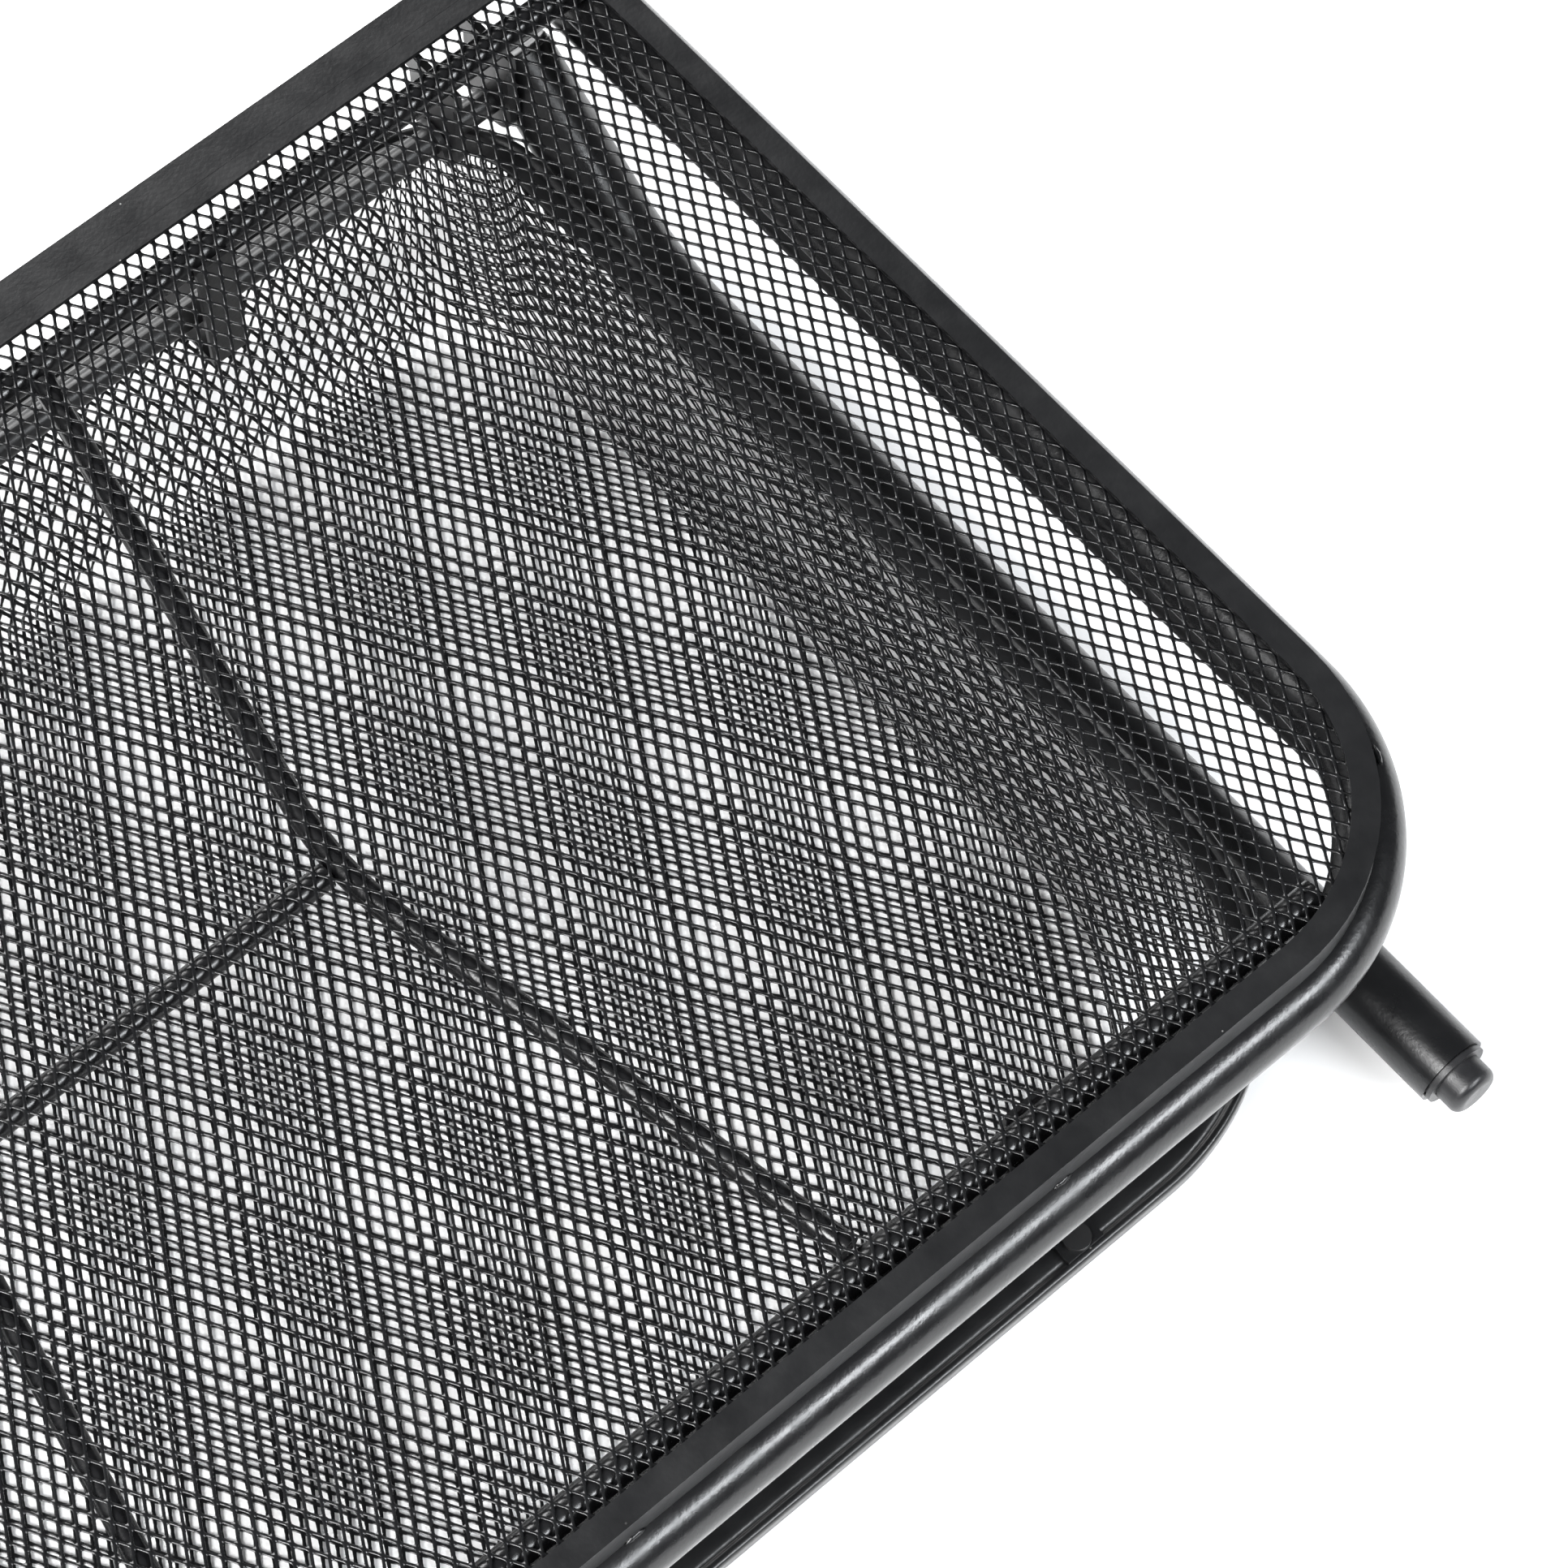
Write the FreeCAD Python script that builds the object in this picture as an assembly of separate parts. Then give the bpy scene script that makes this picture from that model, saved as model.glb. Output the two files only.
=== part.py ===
import FreeCAD, Part
import math
import os

# Folding side table, folded flat.  Millimetres, +Z up.
# Origin: centre of the basket floor's underside.  +X right, +Y to the back edge.

os.makedirs("parts", exist_ok=True)
V = FreeCAD.Vector

# ---- driving dimensions ----------------------------------------------------
TOP_LENGTH = 498.0          # table top along X, over the rim
TOP_DEPTH = 318.1           # table top along Y, over the rim
TOP_HEIGHT = 88.0           # top of the hem when folded
CORNER_RADIUS = 60.0        # front corners of the rim, outside
RIM_DIAMETER = 16.0
RIM_DROP = 16.5             # rim tube centre below the top of the hem
RIM_WALL = 1.2
RIM_END_INSET = 3.0         # open tube ends inside the back edge
RIM_NOSE_STEP = 1.6
RIM_NOSE = 1.2
MESH_DROP = 2.0             # mesh plane below the top of the hem
SHEET_INSET = 9.5           # edge of the sheet inside the rim's outer face
SHEET = 1.0                 # thickness over the strands of the expanded sheet
SHEET_BACK_RADIUS = 2.0
CROSSBAR_DIAMETER = 7.4
CROSSBAR_INSET = 19.5       # crossbar centres from the front and back edges
BRACE_DIAMETER = 6.0
BRACE_END_X = 78.5          # where a brace meets the crossbars
BRACE_APEX_X = 52.5         # where the arms of a brace would meet
BRACE_BEND_RADIUS = 90.0
BRACE_END_GAP = 0.9         # brace end short of the crossbar
WELD_GAP = 0.06
HEM_WIDTH = 8.5             # flat hem along the back edge
HEM_LIP = 14.0
BAND_OUTER_INSET = 7.2      # flat hem along the front and sides
BAND_INNER_INSET = 13.4
STRIP = 1.2                 # flat strip thickness

BASKET_SIDE_INSET = 34.8    # basket rim inside the short sides of the top
BASKET_RIM_DROP = 44.7      # basket rim below the top of the table rim
BASKET_BAND = 8.2
BASKET_LIP = 4.0
BASKET_FRONT_RADIUS = 65.0
BASKET_BACK_RADIUS = 30.0
FLOOR_SIDE_INSET = 57.0
FLOOR_END_INSET = 28.0
FLOOR_ROUND = 6.0           # height of the bend between floor and walls
FLOOR_BEND_STEP = 1.5
KNEE_IN = 0.3               # shares of the bend at its middle section
KNEE_UP = 0.35

REAR_LEG_DIAMETER = 18.0
REAR_LEG_WALL = 1.2
REAR_LEG_INSET = 25.0       # leg centre inside the short side
REAR_LEG_DROP = 72.7        # folded leg centre below the top of the hem
REAR_LEG_OVERHANG = 13.5    # tube end beyond the front edge
REAR_PIVOT_INSET = 14.0     # hinge rod centre inside the back edge
REAR_PIVOT_DROP = 36.0
REAR_CRANK_RUN = 43.0       # length along Y of the cranked part
REAR_CRANK_RADIUS = 48.0
REAR_STUB = 5.0             # tube beyond the pivot
REAR_NOSE_RADIUS = 6.3
REAR_NOSE = 6.5
CAP_STEP = 0.4
CAP_THICKNESS = 1.2
CAP_ROUND = 0.6
HINGE_ROD_DIAMETER = 7.0
ROD_END_INSET = 1.0         # rod end inside the leg's outer face
CLIP_WALL = 2.0
CLIP_THICKNESS = 1.6
CLIP_GAP = 0.5

FRONT_TUBE_DIAMETER = 10.0
FRONT_TUBE_WALL = 1.0
FRONT_SIDE_INSET = 9.0      # front leg centre inside the short side
FRONT_PIVOT_INSET = 17.0    # front cross tube centre inside the front edge
FRONT_PIVOT_DROP = 30.0
FRONT_LEG_LENGTH = 330.2    # pivot to tube end
FRONT_BEND_RADIUS = 26.0
FRONT_NOSE_RADIUS = 3.6
FRONT_NOSE = 5.0
SPREADER_STRAIGHT = 0.5     # straight tube past each bend of the spreader
SPIGOT_LENGTH = 6.0         # swaged end of the spreader inside each front leg
SPIGOT_WALL = 0.8

SEAT_GAP = 0.3              # between pieces that are welded or pressed together
CUT_MARGIN = 1.0            # how far a cutting tool runs past what it cuts
RUN_FIT = 0.08              # radial running clearance
PRESS_FIT = 0.02
PLUG_SHANK = 12.0
PLUG_COLLAR = 1.2
PLUG_COLLAR_STEP = 0.8      # collar inside the tube's outer face
NOSE_ROUND = 2.2
NOSE_ROUND_SHARE = 0.45     # most of a short nose that its rounding takes
EAR_THICKNESS = 2.0
EAR_RADIUS = 8.0
EAR_SPACING = 16.0
EAR_FLANGE = 6.0
EAR_LEG_GAP = 0.7
SADDLE_LENGTH = 18.0
SADDLE_X = 80.0
SADDLE_WALL = 1.5
SADDLE_WEB = 3.0
SADDLE_WEB_OFFSET = 3.3     # web's outer face beyond the crossbar's centre
SADDLE_WEB_GAP = 0.1
HANGER_X = 126.0
HANGER_WIDTH = 10.0
HANGER_FOOT_INSET = 1.5     # hanger foot inside the edge of the basket rim
RIVET_DIAMETER = 4.0
RIVET_OFFSET = 0.6          # rivet inside the middle of the basket band
RIVET_HEAD_DIAMETER = 6.4
RIVET_HEAD = 1.2

# ---- derived levels --------------------------------------------------------
HALF_X = TOP_LENGTH / 2
HALF_Y = TOP_DEPTH / 2
RIM_R = RIM_DIAMETER / 2
RIM_Z = TOP_HEIGHT - RIM_DROP
MESH_Z = TOP_HEIGHT - MESH_DROP
MESH_UNDER = MESH_Z - SHEET / 2
BAR_R = CROSSBAR_DIAMETER / 2
BAR_Z = MESH_UNDER - SEAT_GAP - BAR_R
BAR_Y = HALF_Y - CROSSBAR_INSET
BRACE_R = BRACE_DIAMETER / 2
BRACE_Z = MESH_UNDER - SEAT_GAP - BRACE_R
BASKET_Z = TOP_HEIGHT - BASKET_RIM_DROP
BASKET_HALF_X = HALF_X - BASKET_SIDE_INSET
REAR_R = REAR_LEG_DIAMETER / 2
REAR_X = HALF_X - REAR_LEG_INSET
REAR_Z = TOP_HEIGHT - REAR_LEG_DROP
REAR_PIVOT_Y = HALF_Y - REAR_PIVOT_INSET
REAR_PIVOT_Z = TOP_HEIGHT - REAR_PIVOT_DROP
ROD_R = HINGE_ROD_DIAMETER / 2
FRONT_R = FRONT_TUBE_DIAMETER / 2
FRONT_X = HALF_X - FRONT_SIDE_INSET
FRONT_PIVOT_Y = FRONT_PIVOT_INSET - HALF_Y
FRONT_PIVOT_Z = TOP_HEIGHT - FRONT_PIVOT_DROP


# ---- helpers ---------------------------------------------------------------
def save(name, shape):
    """Write one node of the assembly."""
    if shape.ShapeType == "Compound" and len(shape.Solids) == 1:
        shape = shape.Solids[0]
    shape.exportStep("parts/%s.step" % name)


def mirror(shape):
    """The left-hand twin of a right-hand piece."""
    return shape.mirror(V(0, 0, 0), V(1, 0, 0))


def save_pair(name, shape):
    save(name + "_right", shape)
    save(name + "_left", mirror(shape))


def path(points, radii):
    """Wire through points; each inner corner is rounded with its radius."""
    edges = []
    start = points[0]
    for i in range(1, len(points) - 1):
        corner, radius = points[i], radii[i - 1]
        before = (points[i - 1] - corner).normalize()
        after = (points[i + 1] - corner).normalize()
        half = before.getAngle(after) / 2
        reach = radius / math.tan(half)
        a, b = corner + before * reach, corner + after * reach
        to_centre = (before + after).normalize()
        mid = corner + to_centre * (radius / math.sin(half) - radius)
        edges.append(Part.makeLine(start, a))
        edges.append(Part.Arc(a, mid, b).toShape())
        start = b
    edges.append(Part.makeLine(start, points[-1]))
    return Part.Wire(edges)


def rod(wire, radius):
    """Solid round bar along a wire."""
    first = wire.Edges[0]
    start = first.valueAt(first.FirstParameter)
    heading = first.tangentAt(first.FirstParameter)
    ring = Part.Wire([Part.makeCircle(radius, start, heading)])
    return wire.makePipeShell([ring], True, True)


def tube(wire, radius, wall):
    return rod(wire, radius).cut(rod(wire, radius - wall))


def outline(half_x, half_y, z, front_r, back_r):
    """Rounded rectangle in the XY plane; front corners and back corners differ."""
    corners = [(half_x, -half_y, front_r), (half_x, half_y, back_r),
               (-half_x, half_y, back_r), (-half_x, -half_y, front_r)]
    inward = [(-1, 1), (-1, -1), (1, -1), (1, 1)]
    edges, ends = [], []
    for (x, y, r), (sx, sy) in zip(corners, inward):
        centre = V(x + sx * r, y + sy * r, z)
        mid = V(centre.x - sx * r * math.sqrt(0.5), centre.y - sy * r * math.sqrt(0.5), z)
        on_x = V(x, centre.y, z)
        on_y = V(centre.x, y, z)
        ends.append((on_x, on_y, mid))
    order = [(ends[0][1], ends[0][2], ends[0][0]), (ends[1][0], ends[1][2], ends[1][1]),
             (ends[2][1], ends[2][2], ends[2][0]), (ends[3][0], ends[3][2], ends[3][1])]
    for i, (a, m, b) in enumerate(order):
        edges.append(Part.Arc(a, m, b).toShape())
        edges.append(Part.makeLine(b, order[(i + 1) % 4][0]))
    return Part.Wire(edges)


def slab(wire, thickness):
    return Part.Face(wire).extrude(V(0, 0, thickness))


def x_cylinder(radius, x0, x1, y, z):
    return Part.makeCylinder(radius, x1 - x0, V(x0, y, z), V(1, 0, 0))


def box(x0, x1, y0, y1, z0, z1):
    return Part.makeBox(x1 - x0, y1 - y0, z1 - z0, V(x0, y0, z0))


def end_plug(tube_r, wall, nose_r, nose, point, heading):
    """Stepped plastic plug: pressed shank, thin collar, rounded nose."""
    shank_r = tube_r - wall - PRESS_FIT
    back = point - heading * PLUG_SHANK
    seat = point + heading * SEAT_GAP
    plug = Part.makeCylinder(shank_r, PLUG_SHANK + SEAT_GAP, back, heading)
    plug = plug.fuse(Part.makeCylinder(tube_r - PLUG_COLLAR_STEP, PLUG_COLLAR, seat, heading))
    tip = Part.makeCylinder(nose_r, nose, seat + heading * PLUG_COLLAR, heading)
    far = seat + heading * (PLUG_COLLAR + nose)
    rim = [e for e in tip.Edges if e.Closed and (e.CenterOfMass - far).Length < 0.01]
    rounding = min(NOSE_ROUND, nose * NOSE_ROUND_SHARE)
    return plug.fuse(tip.makeFillet(rounding, rim)).removeSplitter()


# ---- table top -------------------------------------------------------------
rim_x, rim_y = HALF_X - RIM_R, HALF_Y - RIM_R
rim_end_y = HALF_Y - RIM_END_INSET
rim_line = path([V(rim_x, rim_end_y, RIM_Z), V(rim_x, -rim_y, RIM_Z),
                 V(-rim_x, -rim_y, RIM_Z), V(-rim_x, rim_end_y, RIM_Z)],
                [CORNER_RADIUS - RIM_R] * 2)
save("rim_tube", tube(rim_line, RIM_R, RIM_WALL))
save_pair("rim_plug", end_plug(RIM_R, RIM_WALL, RIM_R - RIM_NOSE_STEP, RIM_NOSE,
                               V(rim_x, rim_end_y, RIM_Z), V(0, 1, 0)))

# the sheet lies under the hem all round
sheet_half_x = HALF_X - SHEET_INSET
sheet_front = -HALF_Y + SHEET_INSET
sheet_back = HALF_Y - STRIP - SEAT_GAP
sheet_mid = (sheet_front + sheet_back) / 2
sheet_line = outline(sheet_half_x, (sheet_back - sheet_front) / 2, MESH_UNDER,
                     CORNER_RADIUS - SHEET_INSET, SHEET_BACK_RADIUS)
sheet_line.translate(V(0, sheet_mid, 0))
save("top_mesh", slab(sheet_line, SHEET))

# back hem: a folded strip, flat on top, with a lip down the back edge
hem_half_x = HALF_X - BAND_OUTER_INSET
lip_half_x = HALF_X - RIM_DIAMETER - SEAT_GAP
hem = box(-hem_half_x, hem_half_x, HALF_Y - HEM_WIDTH, HALF_Y, TOP_HEIGHT - STRIP, TOP_HEIGHT)
hem = hem.fuse(box(-lip_half_x, lip_half_x, HALF_Y - STRIP, HALF_Y, TOP_HEIGHT - HEM_LIP, TOP_HEIGHT))
save("back_hem", hem.removeSplitter())


def band_slab(inset, z, thickness):
    return slab(outline(HALF_X - inset, HALF_Y - inset, z, CORNER_RADIUS - inset,
                        SHEET_BACK_RADIUS), thickness)


# front and side hem: a flat band with a lip down to the top of the rim tube
lip_under = RIM_Z + RIM_R + WELD_GAP
lip_height = TOP_HEIGHT - lip_under
side_hem = band_slab(BAND_OUTER_INSET, TOP_HEIGHT - STRIP, STRIP)
side_hem = side_hem.cut(band_slab(BAND_INNER_INSET, TOP_HEIGHT - STRIP, STRIP))
side_lip = band_slab(BAND_OUTER_INSET, lip_under, lip_height)
side_lip = side_lip.cut(band_slab(BAND_OUTER_INSET + STRIP, lip_under, lip_height))
hem_end_y = HALF_Y - HEM_WIDTH - WELD_GAP
side_hem = side_hem.fuse(side_lip).cut(box(-HALF_X, HALF_X, hem_end_y, HALF_Y, lip_under, TOP_HEIGHT))
save("side_hem", side_hem.removeSplitter())

# crossbars: each ends against the shoulder of the rim tube
bar_drop = BAR_Z - BAR_R - RIM_Z
shoulder = math.sqrt((RIM_R + WELD_GAP) ** 2 - bar_drop ** 2)
bar_end_x = HALF_X - RIM_R - shoulder
save("crossbar_rear", x_cylinder(BAR_R, -bar_end_x, bar_end_x, BAR_Y, BAR_Z))
corner_y = CORNER_RADIUS - HALF_Y
front_reach = CORNER_RADIUS - RIM_R - shoulder
front_rise = corner_y + BAR_Y + BAR_R
front_end_x = HALF_X - CORNER_RADIUS + math.sqrt(front_reach ** 2 - front_rise ** 2)
save("crossbar_front", x_cylinder(BAR_R, -front_end_x, front_end_x, -BAR_Y, BAR_Z))

brace_end_y = BAR_Y - BAR_R - BRACE_END_GAP
brace_line = path([V(BRACE_END_X, brace_end_y, BRACE_Z), V(BRACE_APEX_X, 0, BRACE_Z),
                   V(BRACE_END_X, -brace_end_y, BRACE_Z)], [BRACE_BEND_RADIUS])
save_pair("brace", rod(brace_line, BRACE_R))
brace_slope = math.atan((BRACE_END_X - BRACE_APEX_X) / brace_end_y)
apex_x = BRACE_APEX_X + BRACE_BEND_RADIUS * (1 / math.cos(brace_slope) - 1)
spine_half = apex_x - BRACE_R - SEAT_GAP
save("brace_spine", x_cylinder(BRACE_R, -spine_half, spine_half, 0, BRACE_Z))

# ---- basket ----------------------------------------------------------------
band = slab(outline(BASKET_HALF_X, HALF_Y, BASKET_Z - STRIP,
                    BASKET_FRONT_RADIUS, BASKET_BACK_RADIUS), STRIP)
lip = slab(outline(BASKET_HALF_X, HALF_Y, BASKET_Z - BASKET_LIP,
                   BASKET_FRONT_RADIUS, BASKET_BACK_RADIUS), BASKET_LIP)
lip = lip.cut(slab(outline(BASKET_HALF_X - SHEET, HALF_Y - SHEET, BASKET_Z - BASKET_LIP,
                           BASKET_FRONT_RADIUS - SHEET, BASKET_BACK_RADIUS - SHEET), BASKET_LIP))
hole = slab(outline(BASKET_HALF_X - BASKET_BAND, HALF_Y - BASKET_BAND, BASKET_Z - BASKET_LIP,
                    BASKET_FRONT_RADIUS - BASKET_BAND, BASKET_BACK_RADIUS - BASKET_BAND),
            BASKET_LIP)
save("basket_rim", band.fuse(lip).cut(hole).removeSplitter())


def basket_skin(inset, z_floor):
    """Solid bounded by the basket's walls, drawn in by inset and raised to z_floor."""
    top_z = BASKET_Z - STRIP - SEAT_GAP
    mouth_x = BASKET_HALF_X - BASKET_BAND + SHEET - inset
    mouth_y = HALF_Y - BASKET_BAND + SHEET - inset
    low_x = HALF_X - FLOOR_SIDE_INSET - inset
    low_y = HALF_Y - FLOOR_END_INSET - inset
    front = BASKET_FRONT_RADIUS - BASKET_BAND + SHEET - inset
    back = BASKET_BACK_RADIUS - BASKET_BAND + SHEET - inset
    bend = FLOOR_ROUND - FLOOR_BEND_STEP
    knee = bend * KNEE_IN
    sections = [outline(low_x - bend, low_y - bend, z_floor, front - bend, back - bend),
                outline(low_x - knee, low_y - knee, z_floor + bend * KNEE_UP,
                        front - knee, back - knee),
                outline(low_x, low_y, z_floor + FLOOR_ROUND, front, back),
                outline(mouth_x, mouth_y, top_z, front, back)]
    return Part.makeLoft(sections, True, True)


save("basket_mesh", basket_skin(0.0, 0.0).cut(basket_skin(SHEET, SHEET)))

# hangers: a strap from each crossbar down to the basket rim, riveted to the band
foot_z = BASKET_Z + SEAT_GAP
strap_y = BAR_Y - BAR_R - STRIP
hanger = box(HANGER_X - HANGER_WIDTH / 2, HANGER_X + HANGER_WIDTH / 2,
             strap_y - SEAT_GAP, strap_y - SEAT_GAP + STRIP, foot_z, BAR_Z + BAR_R / 2)
foot_outer = HALF_Y - HANGER_FOOT_INSET
hanger = hanger.fuse(box(HANGER_X - HANGER_WIDTH / 2, HANGER_X + HANGER_WIDTH / 2,
                         strap_y - SEAT_GAP, foot_outer, foot_z, foot_z + STRIP))
rivet_y = HALF_Y - BASKET_BAND / 2 - RIVET_OFFSET
rivet_hole = Part.makeCylinder(RIVET_DIAMETER / 2 + PRESS_FIT, STRIP + 2 * CUT_MARGIN,
                               V(HANGER_X, rivet_y, foot_z - CUT_MARGIN), V(0, 0, 1))
hanger = hanger.cut(rivet_hole).removeSplitter()


def front_twin(shape):
    return shape.mirror(V(0, 0, 0), V(0, 1, 0))


save_pair("hanger_rear", hanger)
save_pair("hanger_front", front_twin(hanger))

rivet = Part.makeCylinder(RIVET_HEAD_DIAMETER / 2, RIVET_HEAD,
                          V(HANGER_X, rivet_y, foot_z + STRIP), V(0, 0, 1))
rivet = rivet.fuse(Part.makeCylinder(RIVET_DIAMETER / 2, STRIP,
                                     V(HANGER_X, rivet_y, foot_z), V(0, 0, 1)))
rivet = rivet.removeSplitter()
save("hanger_rivets", Part.makeCompound([rivet, mirror(rivet), front_twin(rivet),
                                         mirror(front_twin(rivet))]))

# ---- rear leg hinge --------------------------------------------------------
rear_inner_x = REAR_X - REAR_R
ear_top = BAR_Z - BAR_R - SEAT_GAP
ear_back = HALF_Y - STRIP - SEAT_GAP
ear = box(0, EAR_THICKNESS, REAR_PIVOT_Y - EAR_RADIUS, REAR_PIVOT_Y + EAR_RADIUS,
          REAR_PIVOT_Z, ear_top)
ear = ear.fuse(box(0, EAR_THICKNESS, BAR_Y - BAR_R, ear_back,
                   ear_top - EAR_FLANGE, ear_top))
ear = ear.fuse(x_cylinder(EAR_RADIUS, 0, EAR_THICKNESS, REAR_PIVOT_Y, REAR_PIVOT_Z))
ear = ear.cut(x_cylinder(ROD_R + RUN_FIT, -CUT_MARGIN, EAR_THICKNESS + CUT_MARGIN,
                         REAR_PIVOT_Y, REAR_PIVOT_Z))
ear = ear.removeSplitter()
outer_ear_x = rear_inner_x - EAR_LEG_GAP - EAR_THICKNESS
inner_ear_x = outer_ear_x - EAR_SPACING
for label, x in (("outer", outer_ear_x), ("inner", inner_ear_x)):
    plate = ear.copy()
    plate.translate(V(x, 0, 0))
    save_pair("hinge_ear_%s" % label, plate)

rod_end_x = REAR_X + REAR_R - ROD_END_INSET
save("hinge_rod", x_cylinder(ROD_R, -rod_end_x, rod_end_x, REAR_PIVOT_Y, REAR_PIVOT_Z))

clip_x = inner_ear_x - CLIP_GAP - CLIP_THICKNESS
clip = x_cylinder(ROD_R + CLIP_WALL, clip_x, clip_x + CLIP_THICKNESS, REAR_PIVOT_Y, REAR_PIVOT_Z)
clip = clip.cut(x_cylinder(ROD_R + PRESS_FIT, clip_x - CUT_MARGIN,
                           clip_x + CLIP_THICKNESS + CUT_MARGIN, REAR_PIVOT_Y, REAR_PIVOT_Z))
save("rod_clips", Part.makeCompound([clip, mirror(clip)]))

# ---- rear legs -------------------------------------------------------------
pivot = V(REAR_X, REAR_PIVOT_Y, REAR_PIVOT_Z)
crank_foot = V(REAR_X, REAR_PIVOT_Y - REAR_CRANK_RUN, REAR_Z)
crank_dir = (pivot - crank_foot).normalize()
leg_top = pivot + crank_dir * REAR_STUB
leg_end = V(REAR_X, -HALF_Y - REAR_LEG_OVERHANG, REAR_Z)
leg_line = path([leg_end, crank_foot, leg_top], [REAR_CRANK_RADIUS])
leg = tube(leg_line, REAR_R, REAR_LEG_WALL)
leg = leg.cut(x_cylinder(ROD_R + PRESS_FIT, rear_inner_x - CUT_MARGIN,
                         REAR_X + REAR_R + CUT_MARGIN, REAR_PIVOT_Y, REAR_PIVOT_Z))
save_pair("rear_leg", leg)
save_pair("rear_foot", end_plug(REAR_R, REAR_LEG_WALL, REAR_NOSE_RADIUS, REAR_NOSE,
                                leg_end, V(0, -1, 0)))
cap = Part.makeCylinder(REAR_R - CAP_STEP, CAP_THICKNESS, leg_top + crank_dir * SEAT_GAP,
                        crank_dir)
cap_far = leg_top + crank_dir * (SEAT_GAP + CAP_THICKNESS)
cap_edge = [e for e in cap.Edges if e.Closed and (e.CenterOfMass - cap_far).Length < 0.01]
save_pair("rear_leg_cap", cap.makeFillet(CAP_ROUND, cap_edge))

# ---- front legs: a bent spreader with a straight tube pushed on each end -------
front_end_y = FRONT_PIVOT_Y + FRONT_LEG_LENGTH
elbow_y = FRONT_PIVOT_Y + FRONT_BEND_RADIUS + SPREADER_STRAIGHT


def spreader_path(end_y):
    return path([V(FRONT_X, end_y, FRONT_PIVOT_Z), V(FRONT_X, FRONT_PIVOT_Y, FRONT_PIVOT_Z),
                 V(-FRONT_X, FRONT_PIVOT_Y, FRONT_PIVOT_Z), V(-FRONT_X, end_y, FRONT_PIVOT_Z)],
                [FRONT_BEND_RADIUS] * 2)


spigot_r = FRONT_R - FRONT_TUBE_WALL - PRESS_FIT
spreader = rod(spreader_path(elbow_y), FRONT_R)
for side in (1, -1):
    spreader = spreader.fuse(Part.makeCylinder(spigot_r, SPIGOT_LENGTH + CUT_MARGIN,
                                               V(side * FRONT_X, elbow_y - CUT_MARGIN, FRONT_PIVOT_Z),
                                               V(0, 1, 0)))
spreader = spreader.cut(rod(spreader_path(elbow_y + SPIGOT_LENGTH + CUT_MARGIN),
                            spigot_r - SPIGOT_WALL))
save("front_spreader", spreader.removeSplitter())

leg_start_y = elbow_y + SEAT_GAP
front_leg = Part.makeCylinder(FRONT_R, front_end_y - leg_start_y,
                              V(FRONT_X, leg_start_y, FRONT_PIVOT_Z), V(0, 1, 0))
front_leg = front_leg.cut(Part.makeCylinder(FRONT_R - FRONT_TUBE_WALL, front_end_y - leg_start_y,
                                            V(FRONT_X, leg_start_y, FRONT_PIVOT_Z), V(0, 1, 0)))
save_pair("front_leg", front_leg)
save_pair("front_foot", end_plug(FRONT_R, FRONT_TUBE_WALL, FRONT_NOSE_RADIUS, FRONT_NOSE,
                                 V(FRONT_X, front_end_y, FRONT_PIVOT_Z), V(0, 1, 0)))

saddle_r = FRONT_R + RUN_FIT
saddle_x0 = SADDLE_X - SADDLE_LENGTH / 2
saddle_x1 = SADDLE_X + SADDLE_LENGTH / 2
saddle = x_cylinder(saddle_r + SADDLE_WALL, saddle_x0, saddle_x1, FRONT_PIVOT_Y, FRONT_PIVOT_Z)
web_y = -BAR_Y - SADDLE_WEB_OFFSET
saddle = saddle.fuse(box(saddle_x0, saddle_x1, web_y, web_y + SADDLE_WEB,
                         FRONT_PIVOT_Z, BAR_Z - BAR_R - SADDLE_WEB_GAP))
saddle = saddle.cut(x_cylinder(saddle_r, saddle_x0 - CUT_MARGIN, saddle_x1 + CUT_MARGIN,
                               FRONT_PIVOT_Y, FRONT_PIVOT_Z))
save_pair("saddle", saddle.removeSplitter())
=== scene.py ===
import math

import bpy
import numpy as np
from mathutils import Matrix, Vector


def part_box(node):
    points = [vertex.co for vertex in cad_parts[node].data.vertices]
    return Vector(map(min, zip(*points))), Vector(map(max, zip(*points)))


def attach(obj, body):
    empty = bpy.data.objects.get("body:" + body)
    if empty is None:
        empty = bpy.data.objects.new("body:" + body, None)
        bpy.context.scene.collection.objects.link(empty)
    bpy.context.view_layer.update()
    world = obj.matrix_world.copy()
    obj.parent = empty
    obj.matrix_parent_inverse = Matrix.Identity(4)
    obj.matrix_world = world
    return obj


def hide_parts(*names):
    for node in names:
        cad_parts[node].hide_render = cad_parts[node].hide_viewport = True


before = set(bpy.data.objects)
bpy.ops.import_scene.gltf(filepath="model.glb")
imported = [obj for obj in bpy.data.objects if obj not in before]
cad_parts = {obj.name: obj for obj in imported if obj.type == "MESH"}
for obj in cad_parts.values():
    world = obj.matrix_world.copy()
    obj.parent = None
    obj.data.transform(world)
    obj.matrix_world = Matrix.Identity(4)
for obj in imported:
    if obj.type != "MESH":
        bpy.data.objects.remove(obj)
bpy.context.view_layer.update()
MM = 0.001

# ---- sizes read from the frame --------------------------------------------------
top_lo, top_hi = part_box("top_mesh")
rim_lo, rim_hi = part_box("rim_tube")
hem_lo, hem_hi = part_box("side_hem")
band_lo, band_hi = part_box("basket_rim")
basket_lo, basket_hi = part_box("basket_mesh")

# ---- driving dimensions, metres -------------------------------------------------
RIM_R = 8.0 * MM
RIM_WALL = 1.2 * MM
RIM_CORNER = 52.0 * MM          # bend radius of the tube's centre line
RIM_STEP = 6.0 * MM             # spacing of the rings on the straight runs
BEND_STEPS = 40
RIM_SPOKES = 64

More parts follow.
